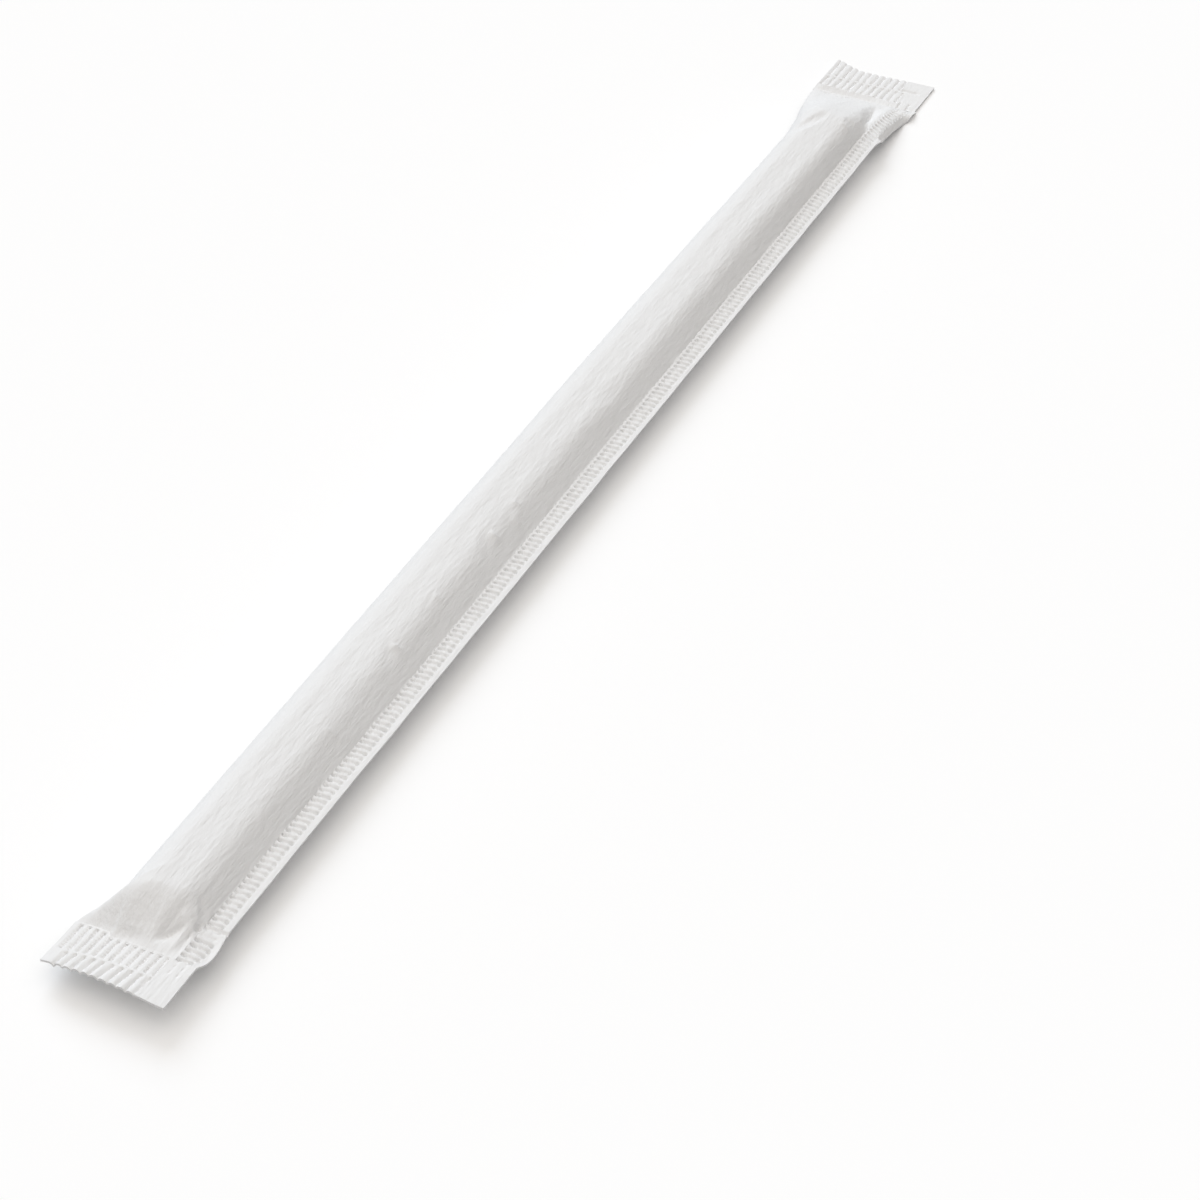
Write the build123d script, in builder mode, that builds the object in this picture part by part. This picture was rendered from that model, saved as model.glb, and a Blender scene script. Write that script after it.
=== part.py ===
"""Drinking straw sealed in a paper sleeve, lying on its side as it comes to rest.

The sleeve is one strip of paper folded once along its length. Its two plies are closed by an embossed seam along one
side and by an embossed crimp across each end. +X runs from the near end to the far end, the side seam is on the -Y
side, and the origin is below the middle of the part, on the surface that it lies on. All sizes are in millimetres.
"""

from build123d import *
import os
from dataclasses import dataclass
from math import cos, exp, pi, radians, sin, tan

# Straw, which is hidden in the sleeve and gives the body its round side
straw_length = 177.5
straw_diameter = 6.0
straw_offset = 1.25
straw_skew = 0.98
straw_bow = 0.43

# Paper sleeve
sleeve_width = 15.2
paper_looseness = 0.12
floor_press = 0.12
ply_thickness = 0.1

# Body section: a loose top ply that turns down to the seam, and a bottom ply that lies flat before it rises. Near
# the straw's far end the folded edge begins to stand off the straw.
slope_run = 2.9
slope_bow = 0.76
slope_skew = 0.2
shoulder_radius = 1.2
crown_fall = 8.0
underside_run = 3.27
underside_radius = 1.0
body_wave = 0.1
body_wave_length = 41.0
fold_bulge = 0.8
fold_bulge_length = 6.0

# Side seam, embossed with ribs across it between a plain root and a plain margin
seam_width = 2.7
seam_root = 0.2
seam_margin = 0.6
seam_rib_pitch = 0.92
seam_rib_depth = 0.16
seam_sag = 0.25
seam_drop_power = 2.35

# Gathered stretches between the straw's ends and the seals
near_gather = 5.5
far_gather = 14.9

# End seals, crimped with lengthwise ribs in two rows, with a plain corner where the side seam runs out
near_seal_band = 0.4
near_row_length = 3.1
near_cut_skew = 1.0
far_seal_lift = 0.13
far_seal_band = 1.8
far_row_length = 3.3
far_corner_reach = 1.2
outer_rib_pitch = 1.11
inner_rib_pitch = 1.02
row_gap = 0.2
seal_rib_height = 0.22
seal_sheet = 0.24
seal_plain_corner = 3.4

# Places along the part, from the sizes above
near_seal_length = near_seal_band + 2 * near_row_length + row_gap
far_seal_length = far_seal_band + 2 * far_row_length + row_gap + far_corner_reach
overall_length = near_seal_length + near_gather + straw_length + far_gather + far_seal_length
near_cut_x = -overall_length / 2
near_seal_x = near_cut_x + near_seal_length
straw_near_x = near_seal_x + near_gather
straw_far_x = straw_near_x + straw_length
far_seal_x = straw_far_x + far_gather
far_cut_x = overall_length / 2

# Places across the part
seam_edge_y = -sleeve_width / 2
fold_edge_y = sleeve_width / 2
root_y = seam_edge_y + seam_width
hump_radius = straw_diameter / 2 + paper_looseness
two_plies = 2 * ply_thickness

# Heights
axis_z = hump_radius - floor_press
seam_height = axis_z - seam_sag
near_seal_height = axis_z
far_seal_height = far_seal_lift + seal_sheet / 2

# How finely the body is sectioned
points_per_ply = 23
body_sections = 12
near_gather_steps = 6
far_gather_steps = 7


@dataclass
class Fold:
    """Dent pressed into the top ply of a gathered stretch, from the straw's end to the seal.

    The shares count across the ply, 0 at the seam and 1 at the folded edge, and depth is a share of the height there.
    """

    share_at_straw: float
    share_at_seal: float
    width: float
    depth: float


@dataclass
class Gather:
    """Stretch of the sleeve that is drawn in from the straw's end to a seal.

    ridge_share is where the ridge that starts at the body's shoulder reaches the seal, as a share of the ply's width.
    """

    straw_x: float
    seal_x: float
    seal_z: float
    ridge_share: float
    steps: int
    folds: list[Fold]


# Shares of a ply's width: the body's shoulder, where its ridge reaches the far seal, how far in from the root the
# plies follow the seam's height, and how near its edges the folds begin
shoulder_share = 0.3
far_ridge_share = 0.19
root_reach_share = 0.13
fold_margin_share = 0.08

# How quickly the folds deepen from both ends of a gathered stretch
fold_fade_power = 0.7

near_folds = [Fold(0.27, 0.29, 0.05, 0.5), Fold(0.58, 0.61, 0.07, 0.22), Fold(0.12, 0.1, 0.03, 0.35)]
far_folds = [Fold(0.14, 0.1, 0.05, 0.5), Fold(0.86, 0.72, 0.07, 0.25)]
near_end = Gather(straw_near_x, near_seal_x, near_seal_height, shoulder_share, near_gather_steps, near_folds)
far_end = Gather(straw_far_x, far_seal_x, far_seal_height, far_ridge_share, far_gather_steps, far_folds)


def axis_y(x: float) -> float:
    """Gives the straw axis's place across the sleeve, slightly askew and slightly bowed."""
    along = 2 * x / straw_length
    return straw_offset - straw_skew * along / 2 + straw_bow * (1 - along * along)


def seam_z(x: float) -> float:
    """Gives the height of the seam's middle: level along the body, and sinking ever faster to the far seal."""
    if x < straw_near_x:
        return seam_height + (near_seal_height - seam_height) * (straw_near_x - x) / near_gather
    step = max(0.0, (x - straw_far_x) / far_gather)
    return seam_height - (seam_height - far_seal_height) * step**seam_drop_power


def body_plies(x: float) -> tuple[Wire, Wire]:
    """Draws the top and bottom plies of the body's section, both from the seam to the folded edge."""
    y = axis_y(x)
    drift = y - straw_offset
    along = 2 * x / straw_length
    fall = radians(crown_fall)
    crown = (y - hump_radius * sin(fall), axis_z + hump_radius * cos(fall))
    shoulder_y = root_y + slope_run - slope_bow * along * along + slope_skew * along
    shoulder = (shoulder_y, crown[1] - (crown[0] - shoulder_y) * tan(fall))
    reach = hump_radius + fold_bulge * max(0.0, min(1.0, (x - straw_far_x) / fold_bulge_length + 1))
    fold = (y + reach, axis_z)
    side = radians(45)
    side_y = y + reach * sin(side)
    bottom_z = axis_z - hump_radius
    with BuildLine() as top:
        FilletPolyline((root_y, seam_z(x) + ply_thickness), shoulder, crown, radius=shoulder_radius)
        ThreePointArc(crown, (side_y, axis_z + hump_radius * cos(side)), fold)
    with BuildLine() as bottom:
        FilletPolyline(
            (root_y, seam_z(x) - ply_thickness),
            (root_y + underside_run + drift, bottom_z),
            (y, bottom_z),
            radius=underside_radius,
        )
        ThreePointArc((y, bottom_z), (side_y, axis_z - hump_radius * cos(side)), fold)
    return top.wire(), bottom.wire()


def body_points(x: float) -> tuple[list[Vector], list[Vector]]:
    """Gives points along both plies of the body's section, with the paper's slow waves in the top one."""
    top, bottom = body_plies(x)
    shares = [i / (points_per_ply - 1) for i in range(points_per_ply)]
    wave = body_wave * sin(2 * pi * x / body_wave_length)
    over = [top @ s + Vector(0, wave * sin(pi * s) ** 2 * cos(2 * pi * s)) for s in shares]
    under = [bottom @ s for s in shares]
    return over, under


def warp(share: float, ridge: float) -> float:
    """Moves the shoulder's share of a ply to the share where its ridge meets the seal."""
    if share < shoulder_share:
        return ridge * share / shoulder_share
    return ridge + (1 - ridge) * (share - shoulder_share) / (1 - shoulder_share)


def gather_points(gather: Gather, step: float) -> tuple[list[Vector], list[Vector]]:
    """Gives points along both plies of a gathered stretch. step is 0 at the straw's end and 1 at the seal."""
    over, under = body_points(gather.straw_x)
    x = gather.straw_x + (gather.seal_x - gather.straw_x) * step
    seam_rise = seam_z(x) - seam_z(gather.straw_x) * (1 - step) - gather.seal_z * step
    top = []
    bottom = []
    for i in range(points_per_ply):
        share = i / (points_per_ply - 1)
        seal_y = root_y + (fold_edge_y - root_y) * warp(share, gather.ridge_share)
        rise = Vector(0, seam_rise * exp(-((share / root_reach_share) ** 2)))
        upper = over[i] * (1 - step) + Vector(seal_y, gather.seal_z + ply_thickness) * step + rise
        lower = under[i] * (1 - step) + Vector(seal_y, gather.seal_z - ply_thickness) * step + rise
        if i == points_per_ply - 1:
            upper = lower = (upper + lower) / 2
        dent = 0.0
        for fold in gather.folds:
            middle = fold.share_at_straw + (fold.share_at_seal - fold.share_at_straw) * step
            dent += fold.depth * exp(-(((share - middle) / fold.width) ** 2))
        open_height = upper.Y - lower.Y - two_plies
        fade = sin(pi * step) ** fold_fade_power if 0 < step < 1 else 0.0
        edge = min(1.0, share / fold_margin_share, (1 - share) / fold_margin_share)
        top.append(upper - Vector(0, open_height * dent * fade * edge))
        bottom.append(lower)
    return top, bottom


def section(x: float, top: list[Vector], bottom: list[Vector]) -> Sketch:
    """Closes both plies into the section of the sleeve at x."""
    with BuildSketch(Plane.YZ.offset(x)) as outline:
        with BuildLine():
            Spline(*top)
            Spline(*bottom)
            Line(bottom[0], top[0])
        make_face()
    return outline.sketch


def seam_profile() -> list[tuple[float, float]]:
    """Gives the zigzag outline of the embossed paper, seen from the seam's edge."""
    count = 2 * round((far_seal_x - near_seal_x) / seam_rib_pitch)
    step = (far_seal_x - near_seal_x) / count
    upper = []
    lower = []
    for i in range(count + 1):
        x = near_seal_x + i * step
        middle = seam_z(x) + (seam_rib_depth if i % 2 else 0)
        upper.append((x, middle + ply_thickness))
        lower.append((x, middle - ply_thickness))
    return upper + lower[::-1]


def seam_plate_profile() -> list[tuple[float, float]]:
    """Gives the outline of the seam's plain paper, seen from the seam's edge."""
    far_bends = [straw_far_x + far_gather * i / far_gather_steps for i in range(far_gather_steps + 1)]
    bends = [near_seal_x, straw_near_x, *far_bends]
    upper = [(x, seam_z(x) + ply_thickness) for x in bends]
    lower = [(x, seam_z(x) - ply_thickness) for x in bends]
    return upper + lower[::-1]


def seal_plate(x_from: float, x_to: float, z: float) -> None:
    """Adds a plain stretch of a seal."""
    with BuildSketch(Plane.XY.offset(z - seal_sheet / 2)) as plate:
        with Locations((x_from, 0)):
            Rectangle(x_to - x_from, sleeve_width, align=(Align.MIN, Align.CENTER))
    extrude(plate.sketch, amount=seal_sheet)


def crimp_row(x_from: float, x_to: float, z: float, pitch: float) -> None:
    """Adds one row of lengthwise ribs with its plain corner on the seam's side."""
    count = round((sleeve_width - seal_plain_corner) / pitch)
    start = fold_edge_y - count * pitch
    with BuildSketch(Plane.YZ.offset(x_from)) as row:
        with BuildLine():
            for level in (z + seal_sheet / 2, z - seal_sheet / 2):
                for i in range(count):
                    y = start + i * pitch
                    ThreePointArc((y, level), (y + pitch / 2, level + seal_rib_height), (y + pitch, level))
                Line((seam_edge_y, level), (start, level))
            for y in (seam_edge_y, fold_edge_y):
                Line((y, z - seal_sheet / 2), (y, z + seal_sheet / 2))
        make_face()
    extrude(row.sketch, amount=x_to - x_from)


with BuildPart() as wrapped_straw:
    # Sleeve round the straw, from the near seal to the far seal
    stations = []
    for i in range(near_end.steps):
        step = 1 - i / near_end.steps
        stations.append((straw_near_x - near_gather * step, *gather_points(near_end, step)))
    body_x = [straw_near_x + straw_length * i / body_sections for i in range(body_sections + 1)]
    for x in sorted([*body_x, straw_far_x - fold_bulge_length]):
        stations.append((x, *body_points(x)))
    for i in range(1, far_end.steps + 1):
        step = i / far_end.steps
        stations.append((straw_far_x + far_gather * step, *gather_points(far_end, step)))
    loft(sections=[section(*station) for station in stations], ruled=True)

    # Side seam: plain root, embossed ribs, plain margin
    with BuildSketch(Plane.XZ.offset(-root_y)):
        with BuildLine():
            Polyline(*seam_plate_profile(), close=True)
        make_face()
    extrude(amount=seam_root)
    with BuildSketch(Plane.XZ.offset(-root_y + seam_root)):
        with BuildLine():
            Polyline(*seam_profile(), close=True)
        make_face()
    extrude(amount=seam_width - seam_root - seam_margin)
    with BuildSketch(Plane.XZ.offset(-seam_edge_y - seam_margin)):
        with BuildLine():
            Polyline(*seam_plate_profile(), close=True)
        make_face()
    extrude(amount=seam_margin)

    # End seals: a plain band, then two rows of ribs that don't quite line up
    near_band_x = near_seal_x - near_seal_band
    near_split_x = near_band_x - near_row_length
    seal_plate(near_band_x, near_seal_x, near_seal_height)
    crimp_row(near_split_x, near_band_x, near_seal_height, inner_rib_pitch)
    seal_plate(near_split_x - row_gap, near_split_x, near_seal_height)
    crimp_row(near_cut_x, near_split_x - row_gap, near_seal_height, outer_rib_pitch)
    far_band_x = far_seal_x + far_seal_band
    far_split_x = far_band_x + far_row_length
    seal_plate(far_seal_x, far_band_x, far_seal_height)
    crimp_row(far_band_x, far_split_x, far_seal_height, inner_rib_pitch)
    seal_plate(far_split_x, far_split_x + row_gap, far_seal_height)
    crimp_row(far_split_x + row_gap, far_cut_x, far_seal_height, outer_rib_pitch)

    # Cut ends, the near one slightly out of square and the far one with a corner that sticks out
    tall = 2 * hump_radius
    with BuildSketch(Plane.XY):
        with BuildLine():
            Polyline(
                (near_cut_x, seam_edge_y),
                (near_cut_x, fold_edge_y),
                (near_cut_x + near_cut_skew, fold_edge_y),
                close=True,
            )
        make_face()
        with BuildLine():
            Polyline(
                (far_cut_x, fold_edge_y),
                (far_cut_x - far_corner_reach, fold_edge_y - sleeve_width / 4),
                (far_cut_x - far_corner_reach, seam_edge_y),
                (far_cut_x, seam_edge_y),
                close=True,
            )
        make_face()
    extrude(amount=tall, mode=Mode.SUBTRACT)

    # Flat spot where the sleeve rests
    split(bisect_by=Plane.XY, keep=Keep.TOP)

wrapped_straw.part.label = "wrapped_straw"

os.makedirs("parts", exist_ok=True)
export_step(wrapped_straw.part, "parts/wrapped_straw.step")
box = wrapped_straw.part.bounding_box()
print("length", round(box.size.X, 2), "width", round(box.size.Y, 2), "height", round(box.size.Z, 2))
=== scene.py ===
"""Wrapped drinking straw: a straw sealed in a folded strip of white paper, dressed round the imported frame.

Every visible surface is paper. The sleeve is made as four closed pieces that meet at their crimped lines:
the tube round the straw, the embossed side seam, and one crimped seal at each end. +X runs from the near
end to the far end and the side seam is on the -Y side. Sizes are in millimetres until a point is placed.
"""

import logging
from dataclasses import dataclass, field
from enum import Enum
from functools import lru_cache
from math import cos, exp, hypot, log, pi, radians, sin, tan
from typing import ClassVar

import bmesh
import bpy
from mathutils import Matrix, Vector, noise


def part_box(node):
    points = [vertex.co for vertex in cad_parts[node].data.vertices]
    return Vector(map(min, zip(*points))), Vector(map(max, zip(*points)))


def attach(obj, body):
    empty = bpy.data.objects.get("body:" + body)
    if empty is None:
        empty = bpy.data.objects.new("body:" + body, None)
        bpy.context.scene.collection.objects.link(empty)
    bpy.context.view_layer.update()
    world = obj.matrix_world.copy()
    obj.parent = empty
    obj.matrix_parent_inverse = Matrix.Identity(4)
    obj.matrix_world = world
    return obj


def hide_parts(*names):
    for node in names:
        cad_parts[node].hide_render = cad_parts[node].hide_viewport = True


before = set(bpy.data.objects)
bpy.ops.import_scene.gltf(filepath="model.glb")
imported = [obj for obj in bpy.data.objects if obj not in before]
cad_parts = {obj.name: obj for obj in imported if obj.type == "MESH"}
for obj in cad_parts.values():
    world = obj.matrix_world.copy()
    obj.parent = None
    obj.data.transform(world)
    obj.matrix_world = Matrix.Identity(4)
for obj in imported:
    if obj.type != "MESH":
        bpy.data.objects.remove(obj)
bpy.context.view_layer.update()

LOG = logging.getLogger("wrapped_straw")
MM = 0.001
NODE = "wrapped_straw"


class Side(Enum):
    """Which face of the doubled paper a point lies on."""

    TOP = 1.0
    EDGE = 0.0
    BOTTOM = -1.0


def clamp(value: float, low: float = 0.0, high: float = 1.0) -> float:
    """Keeps a value between two limits."""
    return max(low, min(high, value))


def smooth(value: float) -> float:
    """Turns 0 to 1 into an S-shaped 0 to 1, and holds it outside."""
    value = clamp(value)
    return value * value * (3.0 - 2.0 * value)


def mix(start: float, end: float, share: float) -> float:
    """Goes from start to end by a share."""
    return start + (end - start) * share


def window(value: float, low: float, high: float, ramp: float) -> float:
    """Is 1 between two limits and falls to 0 over a ramp inside each of them."""
    return smooth((value - low) / ramp) * smooth((high - value) / ramp)


def bump(distance: float, width: float) -> float:
    """Bell curve, 1 at no distance."""
    return exp(-((distance / width) ** 2))


def linear(colour: str) -> tuple[float, float, float, float]:
    """Turns an sRGB hex colour into Blender's linear one.

    Args:
        colour: Six hex digits.

    Returns:
        Red, green, blue and alpha.
    """
    parts = [int(colour[i : i + 2], 16) / 255.0 for i in (0, 2, 4)]
    parts = [c / 12.92 if c <= 0.04045 else ((c + 0.055) / 1.055) ** 2.4 for c in parts]
    return (parts[0], parts[1], parts[2], 1.0)


@dataclass(frozen=True)
class Rise:
    """Step from 0 up to an amount, S-shaped unless it is straight.

    It begins at start and is full after length, which is negative where it runs back.
    """

    start: float
    length: float
    amount: float = 1.0
    straight: bool = False

    def at(self, value: float) -> float:
        """Gives how much of the amount is reached at a value."""
        share = clamp((value - self.start) / self.length)
        return self.amount * (share if self.straight else smooth(share))


@dataclass(frozen=True)
class Grain:
    """Smooth unevenness of the paper, with the size of its swells along and across the sleeve."""

    height: float
    length: float
    width: float
    seed: float

    def at(self, x: float, y: float) -> float:
        """Gives the unevenness at a place, between about minus and plus its height."""
        return self.height * noise.noise(Vector((x / self.length, y / self.width, self.seed)))


@dataclass(frozen=True)
class Crease:
    """Folded line in the paper, with its own width on each side.

    The left side is the one on the left hand when looking from start to end, and peak is the share of the
    line's length at which it stands highest or lies deepest.
    """

    start: tuple[float, float]
    end: tuple[float, float]
    rise: float
    left: float
    right: float
    peak: float = 0.5

    def lift(self, x: float, y: float) -> float:
        """Gives the height that the crease adds at a place.

        Args:
            x: Place along the sleeve.
            y: Place across the sleeve.

        Returns:
            The height, which is negative in a valley.
        """
        line_x = self.end[0] - self.start[0]
        line_y = self.end[1] - self.start[1]
        length = hypot(line_x, line_y)
        along = ((x - self.start[0]) * line_x + (y - self.start[1]) * line_y) / length**2
        if not 0.0 < along < 1.0:
            return 0.0
        across = ((y - self.start[1]) * line_x - (x - self.start[0]) * line_y) / length
        width = self.left if across > 0 else self.right
        if abs(across) >= width:
            return 0.0
        grow = along / self.peak if along < self.peak else (1.0 - along) / (1.0 - self.peak)
        return self.rise * smooth(grow) * (1.0 - abs(across) / width) ** 2


@dataclass(frozen=True)
class Dent:
    """Soft oval hollow, or a swell where its depth is negative."""

    centre: tuple[float, float]
    half_length: float
    half_width: float
    depth: float
    turn: float = 0.0

    def lift(self, x: float, y: float) -> float:
        """Gives the height that the dent adds at a place.

        Args:
            x: Place along the sleeve.
            y: Place across the sleeve.

        Returns:
            The height, which is negative in a hollow.
        """
        dx = x - self.centre[0]
        dy = y - self.centre[1]
        turn = radians(self.turn)
        along = (dx * cos(turn) + dy * sin(turn)) / self.half_length
        across = (dy * cos(turn) - dx * sin(turn)) / self.half_width
        reach = along * along + across * across
        return -self.depth * (1.0 - reach) ** 2 if reach < 1.0 else 0.0


@dataclass
class Layout:
    """Places along and across the sleeve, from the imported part's box and the lengths of its stretches."""

    near_seal_length: float = 6.8
    near_gather: float = 5.5
    far_gather: float = 14.9
    far_seal_length: float = 9.8
    seam_width: float = 2.58
    half_sheet: float = 0.1
    near_cut_x: float = field(init=False)
    near_seal_x: float = field(init=False)
    straw_near_x: float = field(init=False)
    straw_far_x: float = field(init=False)
    far_seal_x: float = field(init=False)
    far_cut_x: float = field(init=False)
    seam_y: float = field(init=False)
    fold_y: float = field(init=False)
    root_y: float = field(init=False)

    def __post_init__(self) -> None:
        """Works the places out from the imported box."""
        low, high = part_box(NODE)
        self.near_cut_x = low.x / MM
        self.far_cut_x = high.x / MM
        self.near_seal_x = self.near_cut_x + self.near_seal_length
        self.straw_near_x = self.near_seal_x + self.near_gather
        self.far_seal_x = self.far_cut_x - self.far_seal_length
        self.straw_far_x = self.far_seal_x - self.far_gather
        self.seam_y = low.y / MM
        self.fold_y = high.y / MM
        self.root_y = self.seam_y + self.seam_width


@dataclass
class DoublePaper:
    """Closed piece of doubled paper, made from a grid that is thickened and then moved to its place."""

    layout: Layout
    name: ClassVar[str] = "paper"
    columns: ClassVar[int] = 100
    rows: ClassVar[int] = 20
    edge_recess: ClassVar[float] = 0.03
    sharp_angle: ClassVar[float] = 50.0

    def place(self, u: float, v: float, side: Side) -> Vector:
        """Gives the place of a grid point, in millimetres.

        Args:
            u: Share along the piece.
            v: Share across the piece.
            side: Face of the paper.

        Returns:
            The point.
        """
        raise NotImplementedError

    @staticmethod
    def grid_order(spot: Vector) -> float:
        """Ranks a spot of the thickened grid, so that every run numbers the mesh alike."""
        return 100.0 * spot.z + 10.0 * spot.x + 0.001 * spot.y

    @staticmethod
    def at_end(share: float) -> float:
        """Is 1 at the very end of a share and 0 before it."""
        return 1.0 if share > 0.99 else 0.0

    def build(self) -> bpy.types.Object:
        """Makes the piece's mesh and object.

        Returns:
            The new object, at the origin, with its place in its mesh.
        """
        shape = bmesh.new()
        bmesh.ops.create_grid(shape, x_segments=self.columns, y_segments=self.rows, size=0.5)
        bmesh.ops.translate(shape, verts=shape.verts[:], vec=(0.0, 0.0, Side.BOTTOM.value))
        grown = bmesh.ops.extrude_face_region(shape, geom=shape.faces[:])["geom"]
        upper = [item for item in grown if isinstance(item, bmesh.types.BMVert)]
        bmesh.ops.translate(shape, verts=upper, vec=(0.0, 0.0, Side.TOP.value - Side.BOTTOM.value))
        walls = [edge for edge in shape.edges if abs(edge.verts[0].co.z - edge.verts[1].co.z) > 1.0]
        bmesh.ops.subdivide_edges(shape, edges=walls, cuts=1)
        shape.verts.sort(key=lambda vert: self.grid_order(vert.co))
        shape.faces.sort(key=lambda face: self.grid_order(face.calc_center_median()))
        for vert in shape.verts:
            side = Side(float(round(vert.co.z)))
            vert.co = self.place(vert.co.x + 0.5, vert.co.y + 0.5, side) * MM
        shape.normal_update()
        bmesh.ops.recalc_face_normals(shape, faces=shape.faces[:])
        LOG.info("%s holds %.1f cubic millimetres", self.name, shape.calc_volume(signed=True) / MM**3)
        mesh = bpy.data.meshes.new(self.name)
        shape.to_mesh(mesh)
        shape.free()
        mesh.shade_smooth()
        mesh.set_sharp_from_angle(angle=radians(self.sharp_angle))
        piece = bpy.data.objects.new(self.name, mesh)
        bpy.context.scene.collection.objects.link(piece)
        return piece


@dataclass(frozen=True)
class RibRow:
    """Row of lengthwise ribs in a seal.

    first is the place of the first groove, and the others follow one pitch apart towards the seam. drift is
    how far the grooves wander across on the way to the row's end, and stitch is how much of each is broken
    into short marks.
    """

    first: float
    pitch: float
    ribs: int
    drift: float
    stitch: float = 0.0


@dataclass(frozen=True)
class CrimpWheel:
    """Wheel that presses rows of ribs into a seal, and leaves a deeper pit near both ends of each groove.

    The lower narrowness is, the narrower are the grooves. start_pit and end_pit each hold a depth, an inset
    from the row's end and a half length.
    """

    press: float
    narrowness: float
    first_groove: int
    drift_power: float
    strength: float
    uneven: Grain
    wander: Grain
    start_pit: tuple[float, float, float]
    end_pit: tuple[float, float, float]
    pit_reach: float
    fade: float
    run_out: float = 0.16
    stitch_pitch: float = 0.43
    stitch_shift: float = 0.37
    groove_stride: float = 3.7

    def depth(self, row: RibRow, x: float, y: float, from_x: float, to_x: float) -> float:
        """Gives the pressed depth in one row of ribs.

        Args:
            row: The row.
            x: Place along the sleeve.
            y: Place across the sleeve.
            from_x: Where the row begins.
            to_x: Where the row ends.

        Returns:
            The depth, 0 on a rib's crown and outside the row.
        """
        share = clamp((x - from_x) / (to_x - from_x))
        wander = row.drift * share**self.drift_power + self.wander.at(x, y)
        phase = (row.first + wander - y) / row.pitch
        index = round(phase)
        if not self.first_groove <= index <= row.ribs:
            return 0.0
        offset = (phase - index) * row.pitch
        groove = 1.0 - abs(sin(pi * clamp(abs(offset) / row.pitch, 0.0, 0.5))) ** self.narrowness
        if index == row.ribs and offset > 0:
            groove *= 1.0 - smooth(offset / self.run_out)
        turns = x / self.stitch_pitch + self.stitch_shift * index
        marks = 1.0 - row.stitch * (0.5 + 0.5 * cos(2.0 * pi * turns))
        pits = self.start_pit[0] * bump(x - from_x - self.start_pit[1], self.start_pit[2])
        pits += self.end_pit[0] * bump(x - to_x + self.end_pit[1], self.end_pit[2])
        strength = self.strength + self.uneven.at(index * self.groove_stride, x)
        pressed = strength * groove * marks + pits * bump(offset, self.pit_reach)
        return self.press * pressed * window(x, from_x, to_x, self.fade)


@dataclass
class Seal(DoublePaper):
    """Crimped end of the sleeve. The side seam's two lines of marks run on into its plain corner."""

    rows: ClassVar[int] = 200
    cut_margin: float = 0.4
    overlap: float = 0.1
    crimped_thickening: float = 0.03
    mark_rows: tuple[float, float] = (0.0, 0.0)
    mark_width: float = 0.12
    mark_depth: float = 0.12
    mark_from: float = 0.0
    mark_to: float = 0.0
    mark_fade: float = 0.6

    def lines(self, x: float, y: float, seal_x: float) -> float:
        """Gives how deep the side seam's marks are at a place, as a share of their depth.

        Args:
            x: Place along the sleeve.
            y: Place across the sleeve.
            seal_x: Place of the seal's inner line.

        Returns:
            The share.
        """
        across = sum(bump(y - row, self.mark_width) for row in self.mark_rows)
        return across * window(x, seal_x + self.mark_from, seal_x + self.mark_to, self.mark_fade)

    def ply_lift(self, side: Side) -> float:
        """Gives how far a face of the crimped paper lies above its middle."""
        return (self.layout.half_sheet + self.crimped_thickening) * side.value


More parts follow.
